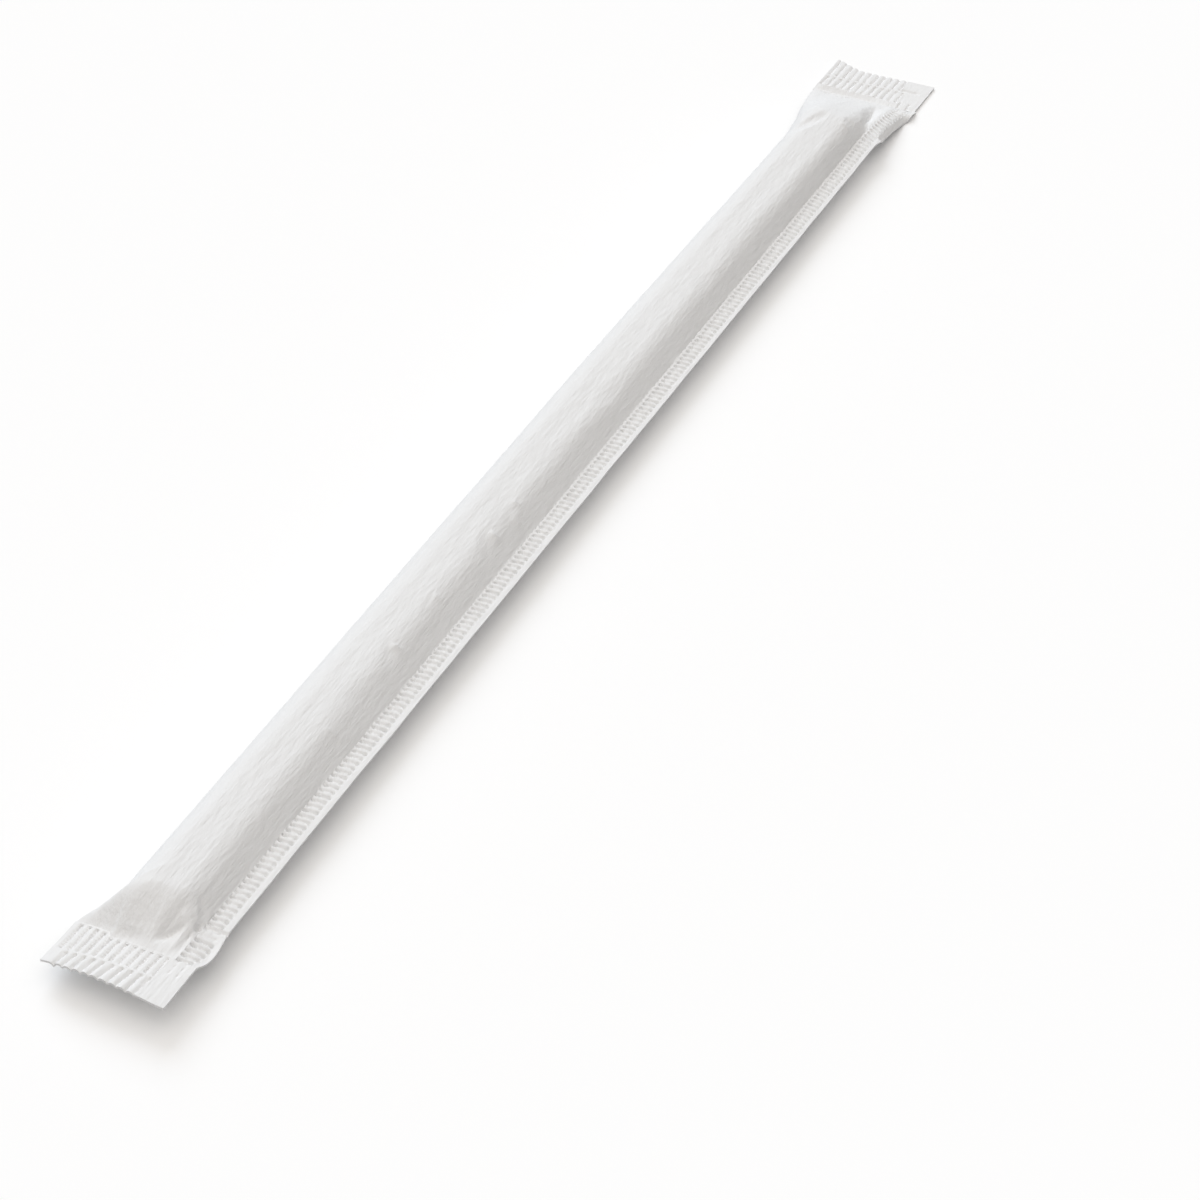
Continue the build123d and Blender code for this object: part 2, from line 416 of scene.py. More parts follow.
@dataclass
class NearSeal(Seal):
    """Crimped end that faces the viewer. It stands clear of the surface and curls up towards its cut."""

    name: ClassVar[str] = "near_seal"
    columns: ClassVar[int] = 78
    level_z: float = 3.03
    fold_fall: float = 0.85
    fold_fall_power: float = 2.5
    curl: float = 0.4
    curl_middle: float = 0.45
    curl_middle_shift: float = 1.4
    curl_power: float = 1.5
    curl_reach: float = 1.1
    swell: Grain = Grain(0.06, 9.0, 2.4, 5.7)
    cut_skew: float = 1.0
    cut_grain: Grain = Grain(0.05, 0.9, 1.0, 3.1)
    corner_step: Rise = Rise(-4.25, 0.12, 0.14)
    inner_step: Rise = Rise(2.9, 0.3, 0.5)
    inner_fold_slant: Rise = Rise(3.0, 3.0, 0.35, straight=True)
    inner_seam_slant: Rise = Rise(2.0, -6.0, -0.2, straight=True)
    inner_seam_step: Rise = Rise(-4.6, -0.5, -0.25)
    band: float = 0.05
    row_length: float = 3.3
    row_gap: float = 0.22
    outer_row: RibRow = RibRow(first=7.05, pitch=1.106, ribs=10, drift=-0.28)
    inner_row: RibRow = RibRow(first=7.75, pitch=1.0, ribs=12, drift=-0.12, stitch=0.5)
    fold_press: Rise = Rise(0.0, 4.0, 0.3)
    wheel: CrimpWheel = CrimpWheel(
        press=0.38, narrowness=0.62, first_groove=1, drift_power=2.0,
        strength=0.9, uneven=Grain(0.3, 1.0, 5.0, 2.2), wander=Grain(0.09, 1.6, 1.3, 8.3),
        start_pit=(0.3, 0.12, 0.16), end_pit=(0.3, 0.1, 0.16), pit_reach=0.15, fade=0.2,
    )
    mark_rows: tuple[float, float] = (-5.45, -6.5)
    mark_from: float = -3.0
    mark_to: float = 0.2
    mark_fade: float = 0.7
    mark_pitch: float = 0.9
    mark_break: float = 0.4
    grain: Grain = Grain(0.012, 1.1, 0.7, 1.9)

    def cut_x(self, y: float) -> float:
        """Gives the place of the cut edge, a little out of square and a little uneven."""
        skew = self.cut_skew * self.across(y)
        return self.layout.near_cut_x + self.corner_step.at(y) + skew + self.cut_grain.at(y, 0.0)

    def across(self, y: float) -> float:
        """Gives the share of the sleeve's width at a place, 0 at the seam and 1 at the folded edge."""
        return (y - self.layout.seam_y) / (self.layout.fold_y - self.layout.seam_y)

    def inner_x(self, y: float) -> float:
        """Gives the place of the seal's inner line, which steps back a little near the folded edge.

        Args:
            y: Place across the sleeve.

        Returns:
            The line's place along the sleeve.
        """
        fold_side = self.inner_step.at(y) + self.inner_fold_slant.at(y)
        seam_side = self.inner_seam_slant.at(y) + self.inner_seam_step.at(y)
        return self.layout.near_seal_x + fold_side + seam_side

    def level(self, x: float, y: float) -> float:
        """Gives the middle's height before it is crimped. The folded edge droops and the cut curls up.

        Args:
            x: Place along the sleeve.
            y: Place across the sleeve.

        Returns:
            The height above the surface that the sleeve lies on.
        """
        out = clamp((self.layout.near_seal_x - x) / self.layout.near_seal_length, 0.0, self.curl_reach)
        share = clamp(self.across(y))
        fall = self.fold_fall * share**self.fold_fall_power
        curl = self.curl * share + self.curl_middle * sin(pi * share**self.curl_middle_shift)
        return self.level_z - fall + curl * out**self.curl_power + out * self.swell.at(x, y)

    def crimp(self, x: float, y: float) -> float:
        """Gives how far the wheel pressed the paper down, a little more at the folded edge.

        Args:
            x: Place along the sleeve.
            y: Place across the sleeve.

        Returns:
            The depth below the plain paper.
        """
        split = self.layout.near_seal_x - self.band - self.row_length
        if x > split:
            depth = self.wheel.depth(self.inner_row, x, y, split, self.inner_x(y) - self.band)
        else:
            start = self.cut_x(y) - self.cut_margin
            depth = self.wheel.depth(self.outer_row, x, y, start, split - self.row_gap)
        return depth * (1.0 + self.fold_press.at(y))

    def seam_marks(self, x: float, y: float) -> float:
        """Gives the depth of the side seam's marks, which are faint and broken here."""
        broken = 1.0 - self.mark_break + self.mark_break * cos(2.0 * pi * x / self.mark_pitch)
        return self.mark_depth * broken * self.lines(x, y, self.layout.near_seal_x)

    def place(self, u: float, v: float, side: Side) -> Vector:
        """Places a point of the seal, with the two plies parted by a fine line along every cut.

        Args:
            u: Share of the piece's length, 0 at its near end.
            v: Share of its width, 0 at the seam's side.
            side: Ply, or the edge where both meet.

        Returns:
            The point.
        """
        y = mix(self.layout.seam_y, self.layout.fold_y, v)
        x = mix(self.cut_x(y), self.inner_x(y) + self.overlap, u)
        middle = self.level(x, y) - self.crimp(x, y) - self.seam_marks(x, y) + self.grain.at(x, y)
        if side is Side.EDGE:
            x += self.edge_recess * self.at_end(1.0 - u)
            y += self.edge_recess * (self.at_end(1.0 - v) - self.at_end(v))
        return Vector((x, y, middle + self.ply_lift(side)))


@dataclass
class FarSeal(Seal):
    """Crimped end that lies flat, with a pressed band before its ribs and one corner longer."""

    name: ClassVar[str] = "far_seal"
    columns: ClassVar[int] = 110
    level_z: float = 0.2
    lowest_z: float = 0.02
    fold_rise: Rise = Rise(4.5, 3.1, 0.1)
    swell: Grain = Grain(0.04, 6.0, 3.0, 12.4)
    spread: float = 0.3
    corner_slant: Rise = Rise(3.6, 4.0, 1.62, straight=True)
    cut_grain: Grain = Grain(0.06, 0.7, 1.0, 6.4)
    band: float = 1.7
    band_lean: float = 0.035
    band_pivot_y: float = 2.0
    band_inset: float = 0.25
    band_depth: float = 0.3
    band_slant: Rise = Rise(0.0, 1.15, -0.58, straight=True)
    band_start: Rise = Rise(0.0, 0.18)
    band_end: Rise = Rise(1.5, -0.35)
    band_seam_side: Rise = Rise(-1.6, 1.4, 0.6)
    band_fold_side: Rise = Rise(6.6, 1.0, -0.6)
    band_strength: float = 0.9
    band_grain: Grain = Grain(0.3, 1.0, 0.9, 27.0)
    row_length: float = 3.1
    row_gap: float = 0.28
    outer_row: RibRow = RibRow(first=7.45, pitch=1.09, ribs=10, drift=-0.1)
    inner_row: RibRow = RibRow(first=7.55, pitch=1.065, ribs=11, drift=-0.15)
    wheel: CrimpWheel = CrimpWheel(
        press=0.33, narrowness=0.55, first_groove=0, drift_power=1.0,
        strength=0.8, uneven=Grain(0.35, 1.0, 5.0, 7.2), wander=Grain(0.09, 1.6, 1.3, 18.3),
        start_pit=(0.8, 0.15, 0.22), end_pit=(0.48, 0.2, 0.2), pit_reach=0.17, fade=0.25,
    )
    mark_rows: tuple[float, float] = (-5.0, -6.35)
    mark_width: float = 0.13
    mark_depth: float = 0.2
    mark_from: float = -0.4
    mark_to: float = 2.2
    corner_step_x: float = 5.3
    corner_step_width: float = 0.3
    corner_step_from: Rise = Rise(-3.6, -0.4)
    corner_step_to: Rise = Rise(-6.9, 0.9)
    grain: Grain = Grain(0.012, 1.1, 0.7, 21.9)

    def cut_x(self, y: float) -> float:
        """Gives the place of the cut edge, with the corner at the folded edge sticking out."""
        reach = self.corner_slant.at(y) - self.corner_slant.amount
        return self.layout.far_cut_x + reach + self.cut_grain.at(y, 0.0)

    def level(self, x: float, y: float) -> float:
        """Gives the height of the paper's middle before it is crimped."""
        return self.level_z + self.fold_rise.at(y) + self.swell.at(x, y)

    def band_press(self, along: float, y: float) -> float:
        """Gives the depth of the pressed band, which is steep on its inner side.

        Args:
            along: Distance from the band's inner line.
            y: Place across the sleeve.

        Returns:
            The depth, below 0 where the paper bulges up beside the band.
        """
        depth = self.band_depth + self.band_slant.at(along)
        depth *= self.band_start.at(along) * self.band_end.at(along)
        depth *= 1.0 - self.band_seam_side.amount + self.band_seam_side.at(y)
        depth *= 1.0 + self.band_fold_side.at(y)
        return depth * (self.band_strength + self.band_grain.at(0.0, y))

    def crimp(self, x: float, y: float) -> float:
        """Gives how far the paper is pressed down at a place.

        Args:
            x: Place along the sleeve.
            y: Place across the sleeve.

        Returns:
            The depth below the plain paper.
        """
        start = self.layout.far_seal_x
        band_end = start + self.band
        split = band_end + self.row_length
        if x >= split:
            end = self.cut_x(y) + self.cut_margin
            return self.wheel.depth(self.outer_row, x, y, split + self.row_gap, end)
        lean = self.band_lean * (y - self.band_pivot_y)
        pressed = self.band_press(x - lean - start - self.band_inset, y)
        return pressed + self.wheel.depth(self.inner_row, x, y, band_end + lean, split)

    def corner_marks(self, x: float, y: float) -> float:
        """Gives the depth of the marks in the plain corner: two lines of the side seam and a step.

        Args:
            x: Place along the sleeve.
            y: Place across the sleeve.

        Returns:
            The depth below the plain paper.
        """
        start = self.layout.far_seal_x
        step = bump(x - start - self.corner_step_x, self.corner_step_width)
        step *= self.corner_step_from.at(y) * self.corner_step_to.at(y)
        return self.mark_depth * (self.lines(x, y, start) + step)

    def place(self, u: float, v: float, side: Side) -> Vector:
        """Places a point of the seal, whose lower ply ends a little short at the seam's corner.

        Args:
            u: Share of the piece's length, 0 at its near end.
            v: Share of its width, 0 at the seam's side.
            side: Ply, or the edge where both meet.

        Returns:
            The point.
        """
        y = mix(self.layout.seam_y - 0.5 * self.spread, self.layout.fold_y + self.spread, v)
        x = mix(self.layout.far_seal_x - self.overlap, self.cut_x(y), u)
        middle = self.level(x, y) - self.crimp(x, y) - self.corner_marks(x, y) + self.grain.at(x, y)
        if side is not Side.TOP:
            x -= self.edge_recess * self.at_end(u)
            y += self.edge_recess * (self.at_end(1.0 - v) - self.at_end(v))
        return Vector((x, y, max(middle + self.ply_lift(side), self.lowest_z)))


@dataclass
class SideSeam(DoublePaper):
    """Embossed strip that closes the sleeve along its length."""

    name: ClassVar[str] = "side_seam"
    columns: ClassVar[int] = 1900
    rows: ClassVar[int] = 24
    height: float = 2.75
    lowest_z: float = 0.02
    drop_power: float = 2.35
    tilt: float = 0.08
    tilt_end: Rise = Rise(0.0, 4.0)
    tuck: float = 0.35
    tuck_fall: float = 0.9
    tuck_end: float = 3.0
    near_overrun: float = 0.25
    far_overrun: float = 0.15
    widening: Rise = Rise(82.0, 3.0, 0.4)
    edge_grain: Grain = Grain(0.06, 7.0, 1.0, 31.0)
    level_grain: Grain = Grain(0.1, 16.0, 20.0, 14.0)
    level_grain_width: float = 1.5
    fine_grain: Grain = Grain(0.01, 0.8, 0.5, 23.0)
    # Ribs: their pitch grows and they lean more and more towards the far end, most of all beside its gather
    pitch_near: float = 0.88
    pitch_far: float = 0.98
    lean_near: float = -0.08
    lean_growth: Rise = Rise(20.0, 60.0, 0.4)
    lean_end: float = 0.4
    lean_pivot: float = 1.2
    rib_grain: Grain = Grain(0.05, 2.0, 9.0, 4.4)
    end_from: Rise = Rise(81.0, 4.0)
    end_to: Rise = Rise(95.5, -3.0)
    inner_row: float = 0.32
    inner_row_shift: Rise = Rise(-90.0, 110.0, 0.3)
    outer_row: float = 1.62
    outer_row_shift: Rise = Rise(-10.0, 20.0, 0.18)
    # Grooves between the ribs, and the deeper pits in each row
    groove: float = 0.3
    groove_width: float = 0.17
    groove_end_width: float = 0.04
    groove_overrun: float = 0.35
    groove_fade: float = 0.25
    groove_strength: float = 0.8
    groove_grain: Grain = Grain(0.5, 1.0, 1.0, 9.6)
    groove_stride: float = 2.3
    groove_end_strength: float = 1.0
    pit: float = 0.5
    pit_reach: float = 0.19
    inner_pit_width: float = 0.15
    outer_pit_width: float = 0.14
    pit_end_loss: float = 0.5
    pit_strength: float = 0.85
    pit_grain: Grain = Grain(0.7, 1.0, 1.0, 2.7)
    pit_stride: float = 5.1
    # Small teeth along the root, and the stretch at the straw's near end where the strip is pulled smooth
    teeth: float = 0.08
    tooth_shift: float = 0.45
    tooth_width: float = 0.16
    tooth_reach: float = 0.3
    tooth_fade: float = 0.1
    pulled_share: float = 0.75
    pulled_from: float = -1.9
    pulled_to: float = 0.1
    pulled_fade: float = 0.5
    # Outer part turned down beside the far gather
    bend_inset: float = 1.2
    bend_turn: float = 52.0
    bend_start: float = 9.0
    bend_end: float = 5.0
    bend_near: float = 2.1
    bend_far: float = 1.72
    bend_shift: float = 2.5
    # Buckle and notch beside the near gather
    buckle_power: float = 0.8
    buckle_out: float = 0.4
    buckle_width: float = 1.2
    buckle_fall: float = 0.42
    buckle_rise: float = 0.25
    buckle_fold_near: float = 2.7
    buckle_fold_far: float = 1.0
    notch: float = 0.3
    notch_inset: float = 0.1
    notch_length: float = 0.2
    notch_width: float = 0.8
    near: NearSeal | None = None
    far: FarSeal | None = None

    def level(self, x: float) -> float:
        """Gives the middle's height: level along the body, and sinking ever faster to the far seal.

        Args:
            x: Place along the sleeve.

        Returns:
            The height above the surface that the sleeve lies on.
        """
        place = self.layout
        if x < place.straw_near_x:
            near_z = self.near.level(place.near_seal_x, place.root_y)
            return mix(self.height, near_z, clamp((place.straw_near_x - x) / place.near_gather))
        step = clamp((x - place.straw_far_x) / place.far_gather)
        far_z = self.far.level(place.far_seal_x, place.root_y)
        return mix(self.height, far_z, step**self.drop_power)

    def ribs_passed(self, x: float) -> float:
        """Counts the ribs from the near seal to a place, with the pitch growing on the way.

        Args:
            x: Place along the sleeve.

        Returns:
            The count, with parts of a rib.
        """
        length = self.layout.far_seal_x - self.layout.near_seal_x
        growth = (self.pitch_far - self.pitch_near) / length
        return log(1.0 + growth * (x - self.layout.near_seal_x) / self.pitch_near) / growth

    def emboss(self, x: float, w: float) -> float:
        """Gives the depth that the sealing wheel pressed into the strip.

        Args:
            x: Place along the sleeve.
            w: Distance from the strip's root.

        Returns:
            The depth below the ribs' crowns.
        """
        end = self.end_from.at(x) * self.end_to.at(x)
        lean = self.lean_near + self.lean_growth.at(x) + self.lean_end * end
        inner = self.inner_row + self.inner_row_shift.at(x)
        outer = self.outer_row + self.outer_row_shift.at(x)
        count = self.ribs_passed(x + lean * (w - self.lean_pivot) + self.rib_grain.at(x, w))
        index = round(count)
        offset = (count - index) * self.pitch_near
        strength = self.groove_strength + self.groove_grain.at(index * self.groove_stride, 0.0)
        strength += self.groove_end_strength * end
        bar = bump(offset, self.groove_width + self.groove_end_width * end)
        bar *= window(w, inner - self.groove_overrun, outer + self.groove_overrun, self.groove_fade)
        pits = bump(w - inner, self.inner_pit_width) + bump(w - outer, self.outer_pit_width)
        pits *= bump(offset, self.pit_reach) * (1.0 - self.pit_end_loss * end)
        pits *= self.pit_strength + self.pit_grain.at(index * self.pit_stride, w)
        tooth = bump(offset - self.tooth_shift * self.pitch_near, self.tooth_width)
        tooth *= window(w, -self.tooth_reach, self.tooth_reach, self.tooth_fade)
        rim = self.layout.straw_near_x
        pulled = self.pulled_share * window(x, rim + self.pulled_from, rim + self.pulled_to, self.pulled_fade)
        return (self.groove * strength * bar + self.pit * pits + self.teeth * tooth) * (1.0 - pulled)

    def bend(self, x: float) -> tuple[float, float]:
        """Gives where the strip's outer part turns down, and how far.

        Args:
            x: Place along the sleeve.

        Returns:
            The bend's distance from the root, and its turn in degrees.
        """
        start = self.layout.straw_far_x + self.bend_inset
        end = self.layout.far_seal_x - self.bend_inset
        share = clamp((x - start) / (end - start))
        turn = self.bend_turn * smooth(share * self.bend_start) * smooth((1.0 - share) * self.bend_end)
        return mix(self.bend_near, self.bend_far, smooth(share * self.bend_shift)), turn

    def buckle(self, x: float, w: float) -> tuple[float, float]:
        """Gives how far the strip is pushed out and down where it buckles beside the near seal.

        Args:
            x: Place along the sleeve.
            w: Distance from the strip's root.

        Returns:
            The distance out and the distance down.
        """
        share = (x - self.layout.near_seal_x) / (self.layout.straw_near_x - self.layout.near_seal_x)
        if share >= 1.0:
            return 0.0, 0.0
        share = clamp(share)
        swing = sin(pi * share**self.buckle_power)
        fold = mix(self.buckle_fold_near, self.buckle_fold_far, share)
        out = self.buckle_out * swing * clamp(w / self.buckle_width)
        down = self.buckle_fall * swing * clamp(w / fold) - self.buckle_rise * swing * clamp(w - fold)
        return out, down

    def place(self, u: float, v: float, side: Side) -> Vector:
        """Places a point of the strip, whose inner edge is tucked under the tube.

        Args:
            u: Share of the piece's length, 0 at its near end.
            v: Share of its width, 0 at the outer edge.
            side: Ply, or the edge where both meet.

        Returns:
            The point.
        """
        place = self.layout
        x = mix(place.near_seal_x - self.near_overrun, place.far_seal_x + self.far_overrun, u)
        w = mix(place.seam_width + self.widening.at(x), -self.tuck, v)
        out, down = self.buckle(x, w)
        fold, turn = self.bend(x)
        hang = max(w - fold, 0.0)
        edge_wave = self.edge_grain.at(x, 0.0) * clamp(w / place.seam_width)
        y = place.root_y - min(w, fold) - hang * cos(radians(turn)) - out + edge_wave
        middle = self.level(x) - down - hang * sin(radians(turn)) - self.emboss(x, w)
        middle -= self.tilt * max(w, 0.0) * self.tilt_end.at(place.far_seal_x - x)
        middle += self.level_grain.at(x, w) * clamp(w / self.level_grain_width) + self.fine_grain.at(x, w)
        notch_x = place.straw_near_x + self.notch_inset
        middle -= self.notch * bump(x - notch_x, self.notch_length) * clamp(w / self.notch_width)
        middle += self.tuck_fall * min(w, 0.0) * clamp((place.straw_far_x - x) / self.tuck_end)
        if side is Side.EDGE:
            y += self.edge_recess * self.at_end(1.0 - v)
        return Vector((x, y, max(middle + place.half_sheet * side.value, self.lowest_z)))


@dataclass(frozen=True)
class Gather:
    """How the paper runs from the straw's end to a seal.

    ridge is the share of the seal's width at which the body's shoulder reaches it, hold is how much further
    the folded edge keeps to the straw's shape, and belly is how far it bulges out on the way. The paper falls
    by a mix of a power curve and an even one, and even is the second one's share.
    """

    ridge: float
    power: float
    even: float
    belly: float
    hold: float = 0.0


@dataclass
class Tube(DoublePaper):
    """Paper round the straw, drawn in to the seals at both ends."""

    name: ClassVar[str] = "sleeve_tube"
    columns: ClassVar[int] = 740
    rows: ClassVar[int] = 64
    shoulder_reach: float = 88.75
    straw_diameter: float = 6.0
    straw_offset: float = 1.55
    straw_drift: float = 0.0128
    bend_x: float = 8.0
    bend_length: float = 14.0
    looseness: float = 0.12
    floor_press: float = 0.12
    crown_fall: float = 8.0
    shoulder_y: float = -2.6
    shoulder_bow: float = 0.6
    shoulder_skew: float = -0.6
    shoulder_soft: float = 1.4
    underside_run: float = 3.4
    tuck: float = 0.2
    near_part: float = 14.0
    far_part: float = 19.0
    near_columns_share: float = 0.15
    far_columns_share: float = 0.16
    wall_share: float = 0.985
    shoulder_share: float = 0.28
    root_reach: float = 0.12
    far_bulge: float = 0.7
    far_bulge_length: float = 6.0
    near_round: float = 1.8
    belly_power: int = 5
    near_gather: Gather = Gather(ridge=0.28, power=1.5, even=0.45, belly=0.5, hold=0.38)
    far_gather: Gather = Gather(ridge=0.215, power=1.15, even=0.2, belly=0.3)
    shoulder_swell: Grain = Grain(0.22, 13.0, 1.0, 41.0)
    shoulder_grain: Grain = Grain(0.12, 5.0, 1.0, 43.0)
    long_swell: Grain = Grain(0.06, 17.0, 3.2, 51.0)
    short_swell: Grain = Grain(0.05, 6.0, 1.6, 53.0)
    fine_swell: Grain = Grain(0.026, 2.4, 0.8, 57.0)
    root_fade: float = 0.025
    fold_fade: float = 0.06
    underside_swell: Grain = Grain(0.03, 9.0, 2.0, 61.0)
    underside_fade: float = 0.1
    near: NearSeal | None = None
    far: FarSeal | None = None
    seam: SideSeam | None = None
    folds: list[Crease | Dent] = field(default_factory=list)

    # A tube equals only itself, so that its cached lines can be told apart
    __hash__ = object.__hash__

    @property
    def hump(self) -> float:
        """Outer radius of the paper round the straw."""
        return self.straw_diameter / 2.0 + self.looseness

    @property
    def near_rim_x(self) -> float:
        """Place where the paper begins to sink from the straw towards the near seal."""
        return self.layout.straw_near_x + self.near_round

    @property
    def axis_z(self) -> float:
        """Height of the straw's axis."""
        return self.hump - self.floor_press

    def axis_y(self, x: float) -> float:
        """Gives the straw axis's place across the sleeve, which drifts towards the seam in its far half."""
        beyond = max(0.0, x - self.bend_x)
        return self.straw_offset - self.straw_drift * beyond * beyond / (beyond + self.bend_length)

    def turn_y(self, x: float) -> float:
        """Gives the line on which the loose paper turns down to the seam.

        Args:
            x: Place along the sleeve.

        Returns:
            The line's place across the sleeve.
        """
        along = x / self.shoulder_reach
        line = self.shoulder_y - self.shoulder_bow * abs(along) ** 3 + self.shoulder_skew * along
        return line + self.shoulder_swell.at(x, 0.0) + self.shoulder_grain.at(x, 0.0)

    @lru_cache(maxsize=4)
    def top_line(self, x: float) -> list[tuple[float, float]]:
        """Gives the corners of the top ply's section: root, shoulder and crown.

        Args:
            x: Place along the sleeve.

        Returns:
            The y and z of each corner.
        """
        y = self.axis_y(x)
        fall = radians(self.crown_fall)
        crown = (y - self.hump * sin(fall), self.axis_z + self.hump * cos(fall))
        shoulder_y = self.turn_y(x)
        shoulder = (shoulder_y, crown[1] - (crown[0] - shoulder_y) * tan(fall))
        root = (self.layout.root_y, self.seam.level(x) + self.layout.half_sheet)
        return [root, shoulder, crown]

    @lru_cache(maxsize=4)
    def under_line(self, x: float) -> list[tuple[float, float]]:
        """Gives the corners of the bottom ply's section: root, the turn at the surface, and the straw.

        Args:
            x: Place along the sleeve.

        Returns:
            The y and z of each corner.
        """
        y = self.axis_y(x)
        low = self.axis_z - self.hump
        turn_y = self.layout.root_y + self.underside_run + y - self.straw_offset
        root = (self.layout.root_y, self.seam.level(x) - self.layout.half_sheet)
        return [root, (turn_y, low), (y, low)]

    def walk(self, x: float, share: float, side: Side) -> tuple[float, float]:
        """Gives a point of the body's section.

        Args:
            x: Place along the sleeve.
            share: Share of the ply's width, 0 at the seam and 1 at the folded edge.
            side: Ply.

        Returns:
            The point's y and z.
        """
        top = side is not Side.BOTTOM
        root, corner, end = self.top_line(x) if top else self.under_line(x)
        start = 90.0 + self.crown_fall if top else -90.0
        first = hypot(corner[0] - root[0], corner[1] - root[1])
        second = hypot(end[0] - corner[0], end[1] - corner[1])
        arc = self.hump * radians(abs(start))
        reach = share * (first + second + arc)
        if reach > first + second:
            angle = radians(start) * (1.0 - (reach - first - second) / arc)
            bulge = self.far_bulge * clamp((x - self.layout.straw_far_x) / self.far_bulge_length + 1.0)
            y = self.axis_y(x) + self.hump * cos(angle) + bulge * clamp(cos(angle))
            return y, self.axis_z + self.hump * sin(angle)
        soft = self.shoulder_soft
        beyond = reach - first
        back = ((root[0] - corner[0]) / first, (root[1] - corner[1]) / first)
        ahead = ((end[0] - corner[0]) / second, (end[1] - corner[1]) / second)
        if abs(beyond) >= soft:
            way, length = (ahead, beyond) if beyond > 0 else (back, -beyond)
            return corner[0] + way[0] * length, corner[1] + way[1] * length
        share = (beyond + soft) / (2.0 * soft)
        before = soft * (1.0 - share) ** 2
        after = soft * share**2
        y = corner[0] + back[0] * before + ahead[0] * after
        return y, corner[1] + back[1] * before + ahead[1] * after

    def gathered(self, x: float, share: float, side: Side) -> tuple[float, float]:
        """Gives a point where the paper runs from the straw's end down or across to a seal.

        Args:
            x: Place along the sleeve.
            share: Share of the ply's width, 0 at the seam and 1 at the folded edge.
            side: Ply.

        Returns:
            The point's y and z.
        """
        place = self.layout
        if x < self.near_rim_x:
            rim_x, seal_x, seal, shape = self.near_rim_x, place.near_seal_x, self.near, self.near_gather
            edge_y = place.fold_y
        else:
            rim_x, seal_x, seal, shape = place.straw_far_x, place.far_seal_x, self.far, self.far_gather
            edge_y = place.fold_y + self.far.spread
        hold = shape.hold * share * share
        step = clamp(((x - rim_x) / (seal_x - rim_x) - hold) / (1.0 - hold))
        warped = shape.ridge * share / self.shoulder_share
        if share > self.shoulder_share:
            warped = mix(shape.ridge, 1.0, (share - self.shoulder_share) / (1.0 - self.shoulder_share))
        seal_y = mix(place.root_y, edge_y, warped)
        seal_z = seal.level(seal_x, seal_y) + place.half_sheet * side.value
        rim_y, rim_z = self.walk(rim_x, share, side)
        eased = mix(step**shape.power, smooth(step), shape.even)
        straight = mix(self.seam.level(rim_x), seal.level(seal_x, place.root_y), eased)
        rise = (self.seam.level(x) - straight) * bump(share, self.root_reach)
        out = shape.belly * 4.0 * step * (1.0 - step) * share**self.belly_power
        return mix(rim_y, seal_y, step) + out, mix(rim_z, seal_z, eased) + rise

    def spaced(self, u: float) -> float:
        """Gives the place of a grid column along the sleeve, closer together where the paper is folded.

        Args:
            u: Share of the grid's columns passed, 0 at the near end.

        Returns:
            The place along the sleeve.
        """
        start = self.layout.near_seal_x - self.tuck
        end = self.layout.far_seal_x + self.tuck
        near = self.near_columns_share
        far = self.far_columns_share
        if u < near:
            return start + self.near_part * u / near
        if u > 1.0 - far:
            return end - self.far_part * (1.0 - u) / far
        return mix(start + self.near_part, end - self.far_part, (u - near) / (1.0 - near - far))

    def place(self, u: float, v: float, side: Side) -> Vector:
        """Places a point of the tube, with the folds and the paper's slow waves on its top.

        Args:
            u: Share of the grid's columns passed, 0 at the near end.
            v: Share of the ply's width, 0 at the seam.
            side: Ply, or the edge where both meet.

        Returns:
            The point.
        """
        place = self.layout
        x = self.spaced(u)
        share = v if side is Side.EDGE else v * self.wall_share
        if self.near_rim_x <= x <= place.straw_far_x:
            y, z = self.walk(x, share, side)
        else:
            y, z = self.gathered(x, share, side)
        if x < self.near_rim_x:
            step = (self.near_rim_x - x) / (self.near_rim_x - place.near_seal_x)
            x += (self.near.inner_x(y) - place.near_seal_x) * step * step
        if side is Side.TOP:
            fade = smooth(share / self.root_fade) * smooth((1.0 - share) / self.fold_fade)
            lift = sum(fold.lift(x, y) for fold in self.folds) + self.long_swell.at(x, y)
            z += fade * (lift + self.short_swell.at(x, y) + self.fine_swell.at(x, y))
        elif side is Side.BOTTOM:
            z += self.underside_swell.at(x, y) * window(share, 0.0, 1.0, self.underside_fade)
        return Vector((x, y, max(z, 0.0)))


def blank_tree(owner: bpy.types.Material | bpy.types.World) -> bpy.types.NodeTree:
    """Gives the emptied node tree of a new material or world.

    Args:
        owner: The new material or world.

    Returns:
        Its node tree, with no nodes.
    """
    owner.use_nodes = True
    owner.node_tree.nodes.clear()
    return owner.node_tree


def node(tree: bpy.types.NodeTree, kind: str, links: dict[str | int, object] | None = None,
         **settings: object) -> bpy.types.Node:
    """Adds a shader node with its settings, socket values and links.

    Args:
        tree: The material's or world's node tree.
        kind: Blender's name of the node type.
        links: Input names, each with a value or with an output socket to link.
        **settings: The node's own properties.

    Returns:
        The new node.
    """
    made = tree.nodes.new(kind)
    for name, value in settings.items():
        setattr(made, name, value)
    for name, value in (links or {}).items():
        if isinstance(value, bpy.types.NodeSocket):
            tree.links.new(value, made.inputs[name])
        else:
            made.inputs[name].default_value = value
    return made


